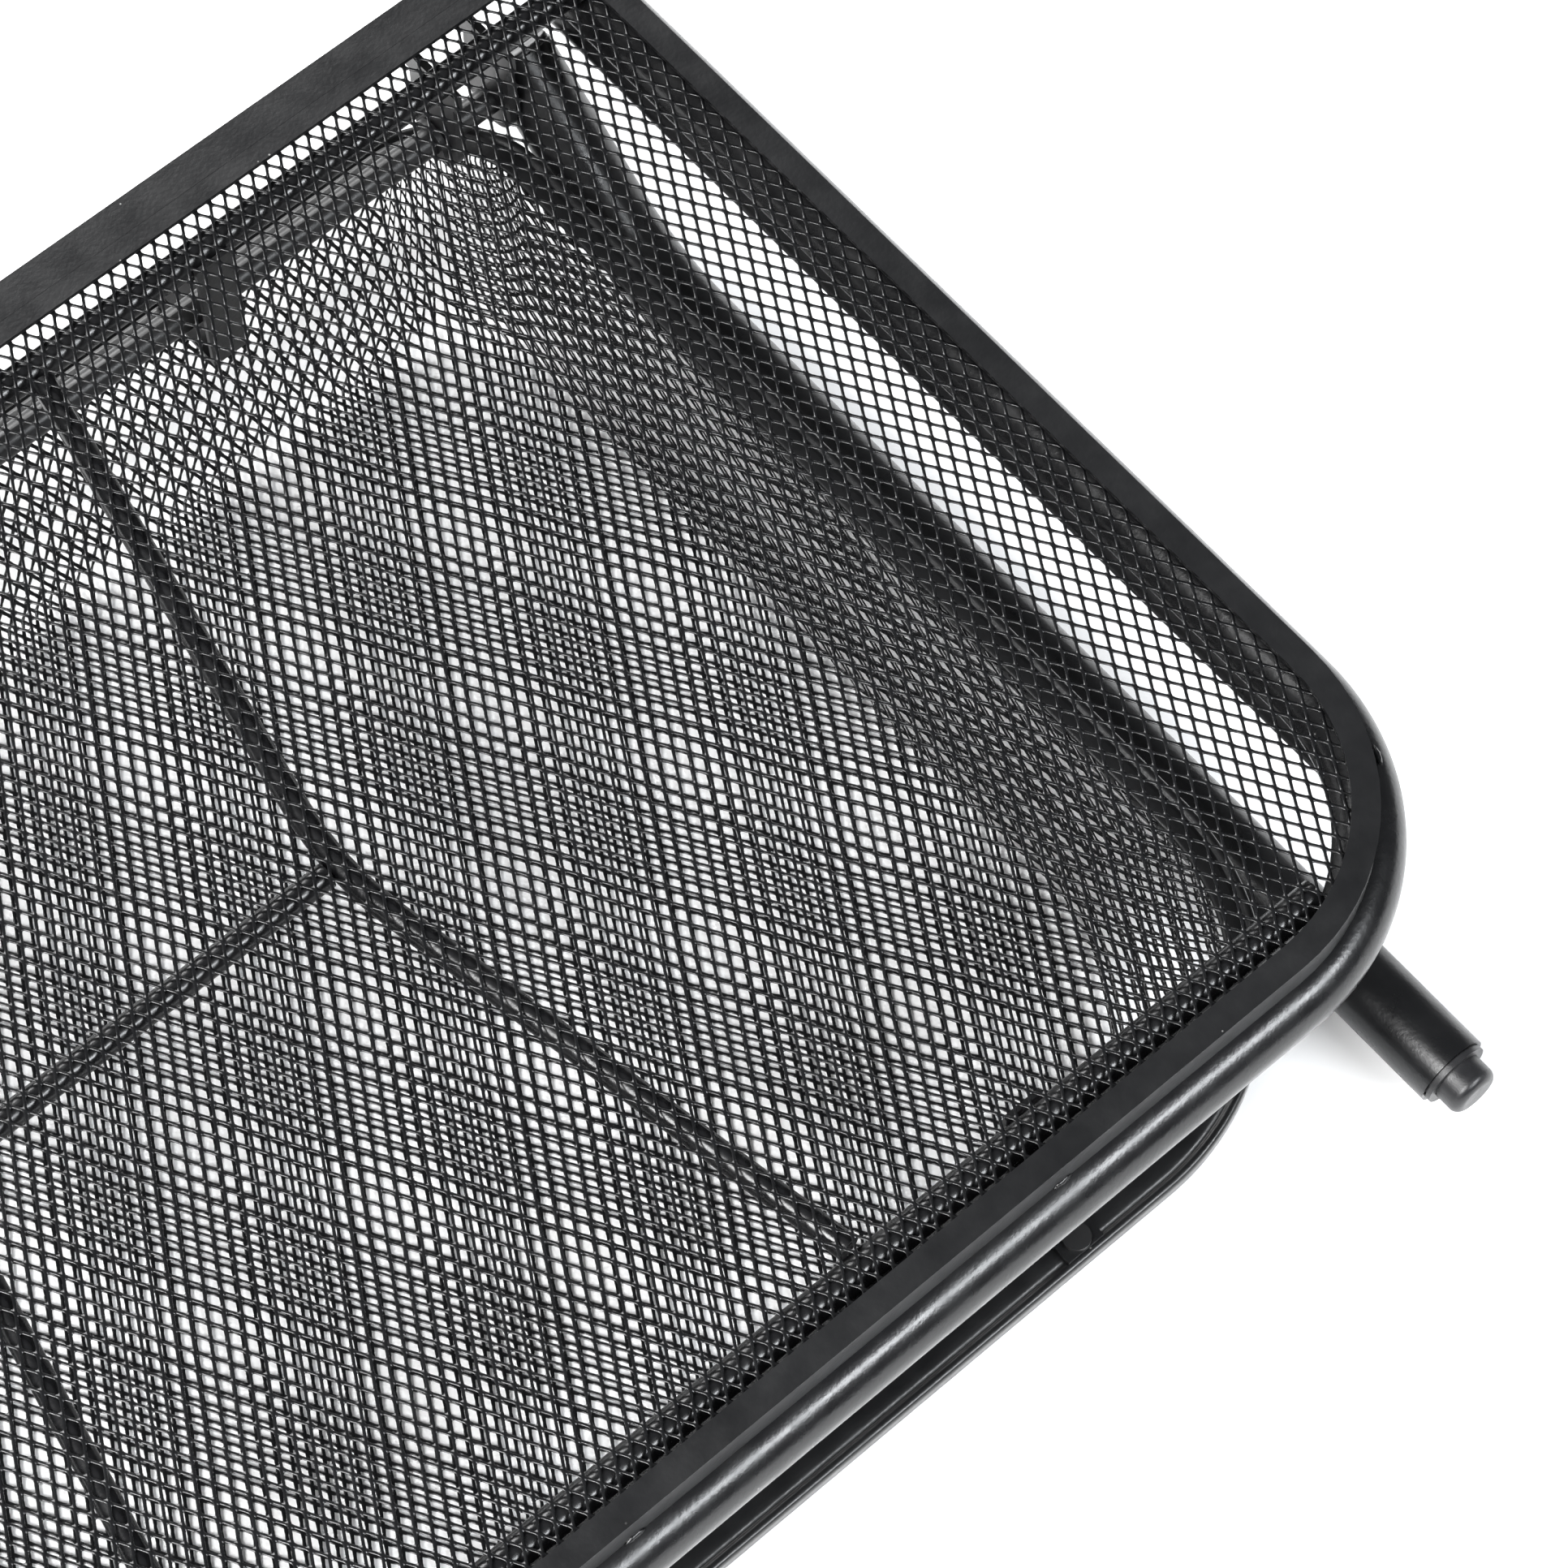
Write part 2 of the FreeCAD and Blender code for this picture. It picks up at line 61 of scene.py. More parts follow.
WELD_BEAD = (2.4 * MM, 0.75 * MM, 0.9 * MM)     # half sizes of a weld between hem and tube
BEAD_LIFT = 0.1 * MM
BEAD_LUMPS = 0.16               # unevenness, as a share of the half sizes
BEAD_RINGS = 12
BEAD_SPOKES = 20
BEAD_TIP = 0.05                 # half angle of the flat at each end, radians
BEAD_SEED = 7
# where the beads of the right half lie, and how far each is turned from X, degrees
BEADS = ((hem_hi.x, 3.0 * MM, 90), (hem_hi.x, 95.0 * MM, 90),
         (hem_hi.x - 3.4 * MM, -124.0 * MM, 68),
         (7.0 * MM, hem_lo.y, 0), (122.0 * MM, hem_lo.y, 0))

SHORT_WAY = 4.0 * MM            # expanded mesh: width of one diamond, along X
LONG_WAY = 6.74 * MM            # length of one diamond, along Y
HOLE_X = 1.44 * MM              # half sizes of the rounded opening
HOLE_Y = 2.44 * MM
STRAND = 0.44 * MM              # thickness of a strand
TWIST = 0.27 * MM               # how far each strand leans out of the sheet
TWIST_SHARPNESS = 1.25          # over 1, the full lean is reached before the opening's tip
# a quarter of the opening, as shares of its half sizes: straight flank, rounded tips
TOP_OPENING = ((1.0, 0.0), (0.84, 0.26), (0.20, 0.91), (0.0, 1.0))
BASKET_OPENING = ((1.0, 0.0), (0.52, 0.575), (0.0, 1.0))
TOP_CORNER = 50.5 * MM          # front corners of the sheet
TOP_BACK_CORNER = 2.0 * MM
TOP_REACH = 0.4                 # diamonds kept past the sheet's edge, as a share of their width

BASKET_FRONT_R = 65.0 * MM
BASKET_BACK_R = 30.0 * MM
FLOOR_FRONT_R = 57.8 * MM
FLOOR_BACK_R = 22.8 * MM
SKIN = 0.5 * MM                 # half thickness of the basket's sheet
MOUTH_HALF = (basket_hi.x, basket_hi.y)
FLOOR_HALF = (basket_hi.x - 15.0 * MM, basket_hi.y - 20.8 * MM)
WALL_LENGTH = 45.0 * MM
WALL_REACH = 3.5 * MM           # diamonds kept past the top of the wall
WALL_MARGIN = 4.0 * MM          # how far the flat sheet is laid out past the wall
WALL_BEND = 0.10                # softness of the pressed bends, as a share of the wall
PROBE = 0.2 * MM                # half step used to find the direction of the pressed sheet
BAND_ARC_STEP = 2.0 * MM
BAND_LINE_STEP = 12.0 * MM
MIN_ARC_STEPS = 6
# section of the basket's edge band: inward from its outer face, and height from its top, mm
BAND_PROFILE = ((0.0, -4.0), (0.0, -1.2), (0.12, -0.6), (0.45, -0.18), (1.0, 0.0), (1.6, -0.05),
                (2.15, -0.3), (2.45, -0.62), (2.75, -0.66), (3.1, -0.42), (3.7, -0.3),
                (7.3, -0.3), (7.9, -0.42), (8.2, -0.8), (7.9, -1.1), (7.3, -1.2),
                (1.6, -1.2), (1.05, -1.6), (1.0, -4.0))

WELD_GRID = 2e-6                # vertices nearer than this are joined
SMALLEST_FACE = 1e-11           # square metres
TINY_LENGTH = 1e-9              # keeps a division by a length away from zero
TINY_CROSS = 1e-12              # the same for the length of a cross product

STAGE_SIZE = 6.0
STAGE_Z = -0.0006
STAGE_DRIFT = 1.5
STAGE_TONES = ((0.3, (0.90, 0.90, 0.90)), (0.7, (0.93, 0.93, 0.93)))
STAGE_ROUGHNESS = 0.9
STAGE_SPECULAR = 0.1
SKY = (0.93, 0.96, 1.0, 1.0)
SKY_STRENGTH = 0.16
# name, direction from the table, distance, width, height, watts, colour
SOFTBOXES = (("overhead", (-0.62, -0.10, 0.80), 2.4, 1.2, 1.2, 130, (1, 1, 1)),
             ("front", (0.30, -0.66, 0.72), 2.4, 1.5, 0.45, 60, (0.94, 0.97, 1.0)),
             ("back", (0.10, 0.95, 0.60), 2.6, 1.8, 1.0, 70, (1, 1, 1)))

# camera, in the part's frame
CAMERA_AT = (-0.16263, -0.39227, 1.01875)
CAMERA_PITCH = math.radians(63.97)
CAMERA_YAW = math.radians(-40.99)
CAMERA_LENS = 112.64
CAMERA_SENSOR = 36.0
CAMERA_CLIP = (0.05, 50.0)

# ---- finish of the materials: scale and detail of each noise, and its reach --------
COAT_TONE = (38.0, 3.0)
COAT_TONE_SPAN = (0.3, 0.72)
COAT_GLOSS = (120.0, 4.0)
COAT_GLOSS_SPREAD = (-0.05, 0.06)
GRAIN_FINER = 3.1               # the fine grain's scale against the orange peel's
GRAIN_STRENGTH = 0.05
PEEL_DEPTH = 0.0004
GRAIN_DEPTH = 0.0002
DUST_SCALE = 330.0
DUST_EDGE = (0.10, 0.05)        # distance from a cell's point over which a speck fades in
DUST_RARITY = (0.955, 0.965)
DUST_SHOWS = 0.55
DUST_COLOUR = (0.35, 0.35, 0.34, 1.0)
COAT_SPECULAR = 0.5

MOULD_TONE = (90.0, 3.0)
MOULD_TONE_SPAN = (0.35, 0.7)
MOULD_GLOSS = (260.0, 3.0)
MOULD_GLOSS_SPREAD = (-0.06, 0.08)
MOULD_GRAIN = (2600.0, 3.0, 0.6)
MOULD_GRAIN_STRENGTH = 0.25

GLOSS_SPAN = (0.3, 0.7)         # part of the noise that is spread over the roughness


# ---- materials --------------------------------------------------------------------
def nodes_of(name):
    m = bpy.data.materials.new(name)
    m.use_nodes = True
    return m, m.node_tree.nodes, m.node_tree.links, m.node_tree.nodes["Principled BSDF"]


def noise(nodes, links, space, scale, detail=2.0, rough=0.5):
    n = nodes.new("ShaderNodeTexNoise")
    n.inputs["Scale"].default_value = scale
    n.inputs["Detail"].default_value = detail
    n.inputs["Roughness"].default_value = rough
    links.new(space, n.inputs["Vector"])
    return n


def ramp(nodes, links, value, stops):
    r = nodes.new("ShaderNodeValToRGB")
    while len(r.color_ramp.elements) < len(stops):
        r.color_ramp.elements.new(0.5)
    for element, (at, colour) in zip(r.color_ramp.elements, stops):
        element.position = at
        element.color = (*colour, 1.0)
    links.new(value, r.inputs["Fac"])
    return r


def map_range(nodes, links, value, low, high, to_low, to_high):
    r = nodes.new("ShaderNodeMapRange")
    for socket, v in (("From Min", low), ("From Max", high), ("To Min", to_low), ("To Max", to_high)):
        r.inputs[socket].default_value = v
    links.new(value, r.inputs["Value"])
    return r


def uneven_gloss(nodes, links, space, shader, cloud, rough, spread):
    """Roughness that drifts a little to both sides of rough."""
    gloss = noise(nodes, links, space, *cloud)
    ranged = map_range(nodes, links, gloss.outputs["Fac"], *GLOSS_SPAN,
                       rough + spread[0], rough + spread[1])
    links.new(ranged.outputs["Result"], shader.inputs["Roughness"])


def bump(nodes, links, height, strength, depth):
    b = nodes.new("ShaderNodeBump")
    b.inputs["Strength"].default_value = strength
    b.inputs["Distance"].default_value = depth
    links.new(height.outputs["Fac"], b.inputs["Height"])
    return b


def add_dust(nodes, links, space, colour):
    """A few pale specks mixed over the colour."""
    dust = nodes.new("ShaderNodeTexVoronoi")
    dust.inputs["Scale"].default_value = DUST_SCALE
    dust.inputs["Randomness"].default_value = 1.0
    links.new(space, dust.inputs["Vector"])
    dot = map_range(nodes, links, dust.outputs["Distance"], *DUST_EDGE, 0.0, 1.0)
    pick = nodes.new("ShaderNodeSeparateColor")
    links.new(dust.outputs["Color"], pick.inputs["Color"])
    rare = map_range(nodes, links, pick.outputs["Red"], *DUST_RARITY, 0.0, DUST_SHOWS)
    both = nodes.new("ShaderNodeMath")
    both.operation = "MULTIPLY"
    links.new(dot.outputs["Result"], both.inputs[0])
    links.new(rare.outputs["Result"], both.inputs[1])
    mix = nodes.new("ShaderNodeMix")
    mix.data_type = "RGBA"
    mix.inputs["B"].default_value = DUST_COLOUR
    links.new(both.outputs["Value"], mix.inputs["Factor"])
    links.new(colour, mix.inputs["A"])
    return mix.outputs["Result"]


def coat(name, dark, light, rough, peel=0.12, peel_scale=900.0, specks=True):
    """Black powder coat: slow tone drift, orange peel, fine grain and a few dust specks."""
    m, nodes, links, shader = nodes_of(name)
    space = nodes.new("ShaderNodeTexCoord").outputs["Object"]
    drift = noise(nodes, links, space, *COAT_TONE)
    tone = ramp(nodes, links, drift.outputs["Fac"], tuple(zip(COAT_TONE_SPAN, (dark, light))))
    colour = tone.outputs["Color"]
    if specks:
        colour = add_dust(nodes, links, space, colour)
    links.new(colour, shader.inputs["Base Color"])
    uneven_gloss(nodes, links, space, shader, COAT_GLOSS, rough, COAT_GLOSS_SPREAD)
    peeled = bump(nodes, links, noise(nodes, links, space, peel_scale), peel, PEEL_DEPTH)
    grained = bump(nodes, links, noise(nodes, links, space, peel_scale * GRAIN_FINER),
                   GRAIN_STRENGTH, GRAIN_DEPTH)
    links.new(peeled.outputs["Normal"], grained.inputs["Normal"])
    links.new(grained.outputs["Normal"], shader.inputs["Normal"])
    shader.inputs["Specular IOR Level"].default_value = COAT_SPECULAR
    return m


def plastic(name, dark, light, rough):
    """Moulded black plastic with a fine spark-eroded grain."""
    m, nodes, links, shader = nodes_of(name)
    space = nodes.new("ShaderNodeTexCoord").outputs["Object"]
    drift = noise(nodes, links, space, *MOULD_TONE)
    tone = ramp(nodes, links, drift.outputs["Fac"], tuple(zip(MOULD_TONE_SPAN, (dark, light))))
    links.new(tone.outputs["Color"], shader.inputs["Base Color"])
    uneven_gloss(nodes, links, space, shader, MOULD_GLOSS, rough, MOULD_GLOSS_SPREAD)
    grain = bump(nodes, links, noise(nodes, links, space, *MOULD_GRAIN),
                 MOULD_GRAIN_STRENGTH, GRAIN_DEPTH)
    links.new(grain.outputs["Normal"], shader.inputs["Normal"])
    return m


tube_coat = coat("tube_powder_coat", (0.0035, 0.0036, 0.0040), (0.0060, 0.0060, 0.0066), 0.26)
leg_coat = coat("leg_powder_coat", (0.0035, 0.0036, 0.0040), (0.0060, 0.0060, 0.0066), 0.30)
flat_coat = coat("flat_powder_coat", (0.0040, 0.0041, 0.0045), (0.0066, 0.0067, 0.0072), 0.34)
mesh_coat = coat("mesh_powder_coat", (0.0035, 0.0036, 0.0040), (0.0060, 0.0061, 0.0066), 0.24,
                 peel=0.08, peel_scale=1400.0, specks=False)
steel = coat("hardware_black", (0.008, 0.008, 0.009), (0.018, 0.018, 0.018), 0.36, peel=0.06)
plug_plastic = plastic("plug_plastic", (0.007, 0.007, 0.008), (0.013, 0.013, 0.014), 0.38)


# ---- mesh helpers -----------------------------------------------------------------
def add(name, vertices, faces, material, replaced=()):
    """A smooth coated piece that rides the table top."""
    mesh = bpy.data.meshes.new(name)
    mesh.from_pydata(np.asarray(vertices, float).tolist(), [], [list(f) for f in faces])
    mesh.validate()
    mesh.update()
    for polygon in mesh.polygons:
        polygon.use_smooth = True
    mesh.materials.append(material)
    thing = bpy.data.objects.new(name, mesh)
    bpy.context.scene.collection.objects.link(thing)
    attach(thing, "table_top")
    if replaced:
        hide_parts(*replaced)


def grid_faces(rows, columns, close_rows=False):
    """Quads of a rows x columns grid of vertices, closed round its columns."""
    r = np.arange(rows if close_rows else rows - 1)
    rr, cc = np.meshgrid(r, np.arange(columns), indexing="ij")
    r2, c2 = (rr + 1) % rows, (cc + 1) % columns
    return np.stack([rr * columns + cc, rr * columns + c2, r2 * columns + c2, r2 * columns + cc],
                    axis=-1).reshape(-1, 4)


def rounded_rectangle(half_x, half_y, front_r, back_r, centre_y, arc_step, line_step):
    """Points and outward directions round a rounded rectangle, anticlockwise from front right."""
    points, normals = [], []
    corners = ((1, -1, front_r, -90), (1, 1, back_r, 0), (-1, 1, back_r, 90), (-1, -1, front_r, 180))
    for i, (sx, sy, r, start) in enumerate(corners):
        n = max(MIN_ARC_STEPS, int(r * math.pi / 2 / arc_step))
        c = np.array([sx * (half_x - r), centre_y + sy * (half_y - r)])
        for k in range(n + 1):
            a = math.radians(start + 90 * k / n)
            d = np.array([math.cos(a), math.sin(a)])
            points.append(c + r * d)
            normals.append(d)
        nx, ny, nr, _ = corners[(i + 1) % 4]
        d = normals[-1]
        after = np.array([nx * (half_x - nr), centre_y + ny * (half_y - nr)]) + nr * d
        steps = int(np.linalg.norm(after - points[-1]) / line_step)
        before = points[-1]
        for k in range(1, steps):
            points.append(before + (after - before) * k / steps)
            normals.append(d)
    return np.array(points), np.array(normals)


# ---- the table rim: a bent tube ------------------------------------------------------
def rim_path():
    """Centre line of the U-shaped rim from its back right end, with inward side vectors."""
    side_x = rim_hi.x - RIM_R
    front_y = rim_lo.y + RIM_R
    points, sides = [], []

    def run(a, b, side):
        a, b = np.array(a), np.array(b)
        steps = max(1, int(np.linalg.norm(b - a) / RIM_STEP))
        for k in range(steps):
            points.append(a + (b - a) * k / steps)
            sides.append(np.array(side))

    def bend(centre_x, start):
        for k in range(BEND_STEPS):
            a = math.radians(start - 90 * k / BEND_STEPS)
            out = np.array([math.cos(a), math.sin(a)])
            points.append(np.array([centre_x, front_y + RIM_CORNER]) + RIM_CORNER * out)
            sides.append(-out)

    corner_x, corner_y = side_x - RIM_CORNER, front_y + RIM_CORNER
    run((side_x, rim_hi.y), (side_x, corner_y), (-1.0, 0.0))
    bend(corner_x, 0)
    run((corner_x, front_y), (-corner_x, front_y), (0.0, 1.0))
    bend(-corner_x, -90)
    run((-side_x, corner_y), (-side_x, rim_hi.y), (1.0, 0.0))
    points.append(np.array([-side_x, rim_hi.y]))
    sides.append(np.array([1.0, 0.0]))
    return np.array(points), np.array(sides)


def sweep(path, inward, radius):
    """Rings of vertices round the path; the first of each ring is on top."""
    angle = np.linspace(0, 2 * math.pi, RIM_SPOKES, endpoint=False)
    xy = path[:, None, :] + inward[:, None, :] * (radius * np.sin(angle))[None, :, None]
    z = np.broadcast_to(rim_hi.z - RIM_R + radius * np.cos(angle), (len(path), RIM_SPOKES))
    return np.concatenate([xy, z[..., None]], axis=-1).reshape(-1, 3)


def add_rim():
    """The hollow tube: outer skin, bore and a flat ring at each open end."""
    path, inward = rim_path()
    shell = sweep(path, inward, RIM_R)
    bore = sweep(path, inward, RIM_R - RIM_WALL)
    skin = grid_faces(len(path), RIM_SPOKES)
    here = np.arange(RIM_SPOKES)
    after = (here + 1) % RIM_SPOKES
    mouth = np.stack([here, here + len(shell), after + len(shell), after], axis=-1)
    far_mouth = (mouth + (len(path) - 1) * RIM_SPOKES)[:, ::-1]
    faces = np.vstack([skin, skin[:, ::-1] + len(shell), mouth, far_mouth])
    add("rim_tube_shell", np.vstack([shell, bore]), faces, tube_coat, ["rim_tube"])


add_rim()


# ---- short weld beads between the lip of the hem and the tube --------------------------
def bead(rng, x0, y0, turn, mirrored):
    """Vertices of one lumpy bead, long along its own X before it is turned."""
    lump = 1 + BEAD_LUMPS * rng.standard_normal((BEAD_RINGS, BEAD_SPOKES))
    lump = (lump + np.roll(lump, 1, 1) + np.roll(lump, -1, 1)) / 3
    polar = np.linspace(BEAD_TIP, math.pi - BEAD_TIP, BEAD_RINGS)[:, None]
    spin = np.linspace(0, 2 * math.pi, BEAD_SPOKES, endpoint=False)[None, :]
    u = WELD_BEAD[0] * lump * np.cos(polar)
    v = WELD_BEAD[1] * lump * np.sin(polar) * np.cos(spin)
    w = WELD_BEAD[2] * lump * np.sin(polar) * np.sin(spin)
    a = math.radians(turn)
    x = mirrored * (x0 + u * math.cos(a) - v * math.sin(a))
    y = y0 + u * math.sin(a) + v * math.cos(a)
    return np.stack([x, y, rim_hi.z + BEAD_LIFT + w], axis=-1).reshape(-1, 3)


def add_beads():
    """All beads as one piece; the left half mirrors the places of the right."""
    rng = np.random.default_rng(BEAD_SEED)
    points, faces = [], []
    for x0, y0, turn in BEADS:
        for mirrored in (1, -1):
            base = BEAD_RINGS * BEAD_SPOKES * len(points)
            points.append(bead(rng, x0, y0, turn, mirrored))
            first = list(range(base, base + BEAD_SPOKES))
            last = [k + (BEAD_RINGS - 1) * BEAD_SPOKES for k in first]
            faces += [list(f + base) for f in grid_faces(BEAD_RINGS, BEAD_SPOKES)[:, ::mirrored]]
            faces += [first[::mirrored], last[::-mirrored]]
    add("hem_weld_beads", np.vstack(points), faces, tube_coat)


add_beads()


# ---- expanded mesh ------------------------------------------------------------------
def opening_outline(opening):
    """The whole opening from its quarter, anticlockwise from +X, in metres."""
    corner = np.array(opening)
    quarter, turned = corner[:-1], corner[::-1][:-1]
    shares = np.concatenate([quarter, turned * (-1, 1), quarter * (-1, -1), turned * (1, -1)])
    return shares * (HOLE_X, HOLE_Y)


def diamond_outline(per_side):
    """The diamond's edge, with as many points on each side as the opening's quarter has."""
    steps = np.arange(per_side)[:, None] / per_side
    tips = np.array([(1.0, 0.0), (0.0, 1.0), (-1.0, 0.0), (0.0, -1.0)]) * (SHORT_WAY / 2, LONG_WAY / 2)
    return np.concatenate([tips[k] + (tips[(k + 1) % 4] - tips[k]) * steps for k in range(4)])


def diamond_cells(half_x, half_y, centre_y, opening):
    """Centres, vertices (x, y, height) and the shared quads of every diamond of the sheet."""
    nx = int(half_x / (SHORT_WAY / 2)) + 2
    ny = int(half_y / (LONG_WAY / 2)) + 2
    ii, jj = np.meshgrid(np.arange(-nx, nx + 1), np.arange(-ny, ny + 1), indexing="ij")
    even = (ii + jj) % 2 == 0
    cx = ii[even] * SHORT_WAY / 2
    cy = jj[even] * LONG_WAY / 2 + centre_y
    hole = opening_outline(opening)
    edge = diamond_outline(len(opening) - 1)
    slots = len(hole)
    lean = TWIST * np.clip(hole[:, 0] / HOLE_X * TWIST_SHARPNESS, -1, 1)
    half = STRAND / 2
    template = np.concatenate([np.column_stack([edge, np.full(slots, half)]),
                               np.column_stack([hole, lean + half]),
                               np.column_stack([hole, lean - half]),
                               np.column_stack([edge, np.full(slots, -half)])])
    k = np.arange(slots)
    k2 = (k + 1) % slots
    quads = [np.stack([a * slots + k, a * slots + k2, (a + 1) * slots + k2, (a + 1) * slots + k], axis=-1)
             for a in range(3)]
    centres = np.column_stack([cx, cy, np.zeros(len(cx))])
    return centres, centres[:, None, :] + template[None, :, :], np.concatenate(quads)


def outside(x, y, half_x, half_y, front_r, back_r, centre_y):
    """Signed distance outside a rounded rectangle, nearest core point, direction and radius."""
    r = np.where(y < centre_y, front_r, back_r)
    qx = np.clip(x, -(half_x - r), half_x - r)
    qy = np.clip(y - centre_y, -(half_y - r), half_y - r)
    dx, dy = x - qx, y - centre_y - qy
    length = np.hypot(dx, dy)
    safe = np.maximum(length, TINY_LENGTH)
    return length - r, qx, qy + centre_y, dx / safe, dy / safe, r


def weld(vertices, quads):
    """Joins vertices that coincide and drops faces that have collapsed."""
    flat = vertices.reshape(-1, 3)
    key = np.round(flat / WELD_GRID).astype(np.int64)
    _, index, back = np.unique(key, axis=0, return_index=True, return_inverse=True)
    cells, per = vertices.shape[:2]
    faces = (quads[None, :, :] + (np.arange(cells) * per)[:, None, None]).reshape(-1, 4)
    faces = back.reshape(-1)[faces]
    points = flat[index]
    a, b, c, d = (points[faces[:, i]] for i in range(4))
    area = np.linalg.norm(np.cross(c - a, d - b), axis=1) / 2
    return points, faces[area > SMALLEST_FACE]


def fast_mesh(name, points, faces):
    """A smooth mesh of quads, filled from arrays."""
    mesh = bpy.data.meshes.new(name)
    mesh.vertices.add(len(points))
    mesh.vertices.foreach_set("co", points.astype(np.float32).ravel())
    mesh.loops.add(faces.size)
    mesh.loops.foreach_set("vertex_index", faces.astype(np.int32).ravel())
    mesh.polygons.add(len(faces))
    mesh.polygons.foreach_set("loop_start", np.arange(0, faces.size, 4, dtype=np.int32))
    mesh.update(calc_edges=True)
    mesh.validate()
    mesh.polygons.foreach_set("use_smooth", np.ones(len(mesh.polygons), bool))
    return mesh


def add_sheet(name, points, faces, node):
    """A sheet of expanded metal that rides the table top."""
    mesh = fast_mesh(name, points, faces)
    mesh.materials.append(mesh_coat)
    thing = bpy.data.objects.new(name, mesh)
    bpy.context.scene.collection.objects.link(thing)
    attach(thing, "table_top")
    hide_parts(node)


def top_sheet():
    """The flat sheet, its edge diamonds trimmed to the rounded outline."""
    half_x, half_y = top_hi.x, (top_hi.y - top_lo.y) / 2
    mid_y, mid_z = (top_hi.y + top_lo.y) / 2, (top_hi.z + top_lo.z) / 2
    shape = (half_x, half_y, TOP_CORNER, TOP_BACK_CORNER, mid_y)
    centres, vertices, quads = diamond_cells(half_x, half_y, mid_y, TOP_OPENING)
    gap = outside(centres[:, 0], centres[:, 1], *shape)[0]
    vertices = vertices[gap < SHORT_WAY * TOP_REACH]
    x, y = vertices[..., 0], vertices[..., 1]
    over, qx, qy, ux, uy, r = outside(x, y, *shape)
    cut = over > 0
    x[cut] = (qx + ux * r)[cut]
    y[cut] = (qy + uy * r)[cut]
    vertices[..., 2] += mid_z
    return weld(vertices, quads)


add_sheet("top_expanded_mesh", *top_sheet(), "top_mesh")


# ---- basket: the same sheet pressed into a tray ---------------------------------------
def soft_step(t):
    """t where positive, 0 where negative, with a rounded start."""
    return 0.5 * (t + np.sqrt(t * t + WALL_BEND ** 2))


def pressed(x, y):
    """Where a point of the flat sheet lies once it is pressed into the tray."""
    low, high = basket_lo.z + SKIN, basket_hi.z - SKIN
    over, qx, qy, ux, uy, r = outside(x, y, *FLOOR_HALF, FLOOR_FRONT_R, FLOOR_BACK_R, 0.0)
    core_x, core_y = FLOOR_HALF[0] - r, FLOOR_HALF[1] - r
    t = over / WALL_LENGTH
    climb = soft_step(t) - soft_step(t - 1.0)
    move_x = (MOUTH_HALF[0] - FLOOR_HALF[0]) * qx / core_x
    move_y = (MOUTH_HALF[1] - FLOOR_HALF[1]) * qy / core_y
    flat = over <= 0
    rise = np.clip(t, 0, 1)
    beyond = np.maximum(over - WALL_LENGTH, 0)
    px = np.where(flat, x, qx + ux * (r + beyond) + move_x * rise)
    py = np.where(flat, y, qy + uy * (r + beyond) + move_y * rise)
    return np.stack([px, py, low + (high - low) * np.clip(climb, 0, 1)], axis=-1)


def basket_sheet():
    """The sheet laid out flat, then pressed, with its strands along the pressed surface."""
    reach_x = FLOOR_HALF[0] + WALL_LENGTH + WALL_MARGIN
    reach_y = FLOOR_HALF[1] + WALL_LENGTH + WALL_MARGIN
    centres, vertices, quads = diamond_cells(reach_x, reach_y, 0.0, BASKET_OPENING)
    gap = outside(centres[:, 0], centres[:, 1], *FLOOR_HALF, FLOOR_FRONT_R, FLOOR_BACK_R, 0.0)[0]
    vertices = vertices[gap < WALL_LENGTH + WALL_REACH]
    x, y, lift = vertices[..., 0], vertices[..., 1], vertices[..., 2]
    across = pressed(x + PROBE, y) - pressed(x - PROBE, y)
    along = pressed(x, y + PROBE) - pressed(x, y - PROBE)
    normal = np.cross(across, along)
    normal /= np.maximum(np.linalg.norm(normal, axis=-1, keepdims=True), TINY_CROSS)
    return weld(pressed(x, y) + normal * lift[..., None], quads)


add_sheet("basket_expanded_mesh", *basket_sheet(), "basket_mesh")


def add_basket_band():
    """The basket's rim: a folded band with a rolled outer bead."""
    profile = np.array(BAND_PROFILE) * MM
    outline, out = rounded_rectangle(band_hi.x, (band_hi.y - band_lo.y) / 2, BASKET_FRONT_R,
                                     BASKET_BACK_R, (band_hi.y + band_lo.y) / 2,
                                     BAND_ARC_STEP, BAND_LINE_STEP)
    xy = outline[:, None, :] - out[:, None, :] * profile[None, :, 0, None]
    z = np.broadcast_to(band_hi.z + profile[:, 1], xy.shape[:2])
    band = np.concatenate([xy, z[..., None]], axis=-1).reshape(-1, 3)
    faces = grid_faces(len(outline), len(profile), close_rows=True)[:, ::-1]
    add("basket_rim_band", band, faces, flat_coat, ["basket_rim"])


add_basket_band()

# ---- finishes of the CAD pieces that keep their shape ---------------------------------
# the longest of these names that a node's own name starts with gives its finish
FINISH = {"rear_leg": leg_coat, "front_leg": leg_coat, "front_spreader": leg_coat,
          "crossbar": tube_coat, "brace": tube_coat,
          "back_hem": flat_coat, "side_hem": flat_coat, "hanger": flat_coat,
          "hanger_rivets": steel, "hinge": steel, "rod_clips": steel,
          "saddle": plug_plastic, "rear_foot": plug_plastic, "front_foot": plug_plastic,
          "rim_plug": plug_plastic, "rear_leg_cap": plug_plastic}
for node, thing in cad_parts.items():
    if thing.hide_render:
        continue
    key = max((k for k in FINISH if node.startswith(k)), key=len)
    for slot in thing.material_slots:
        slot.material = FINISH[key]


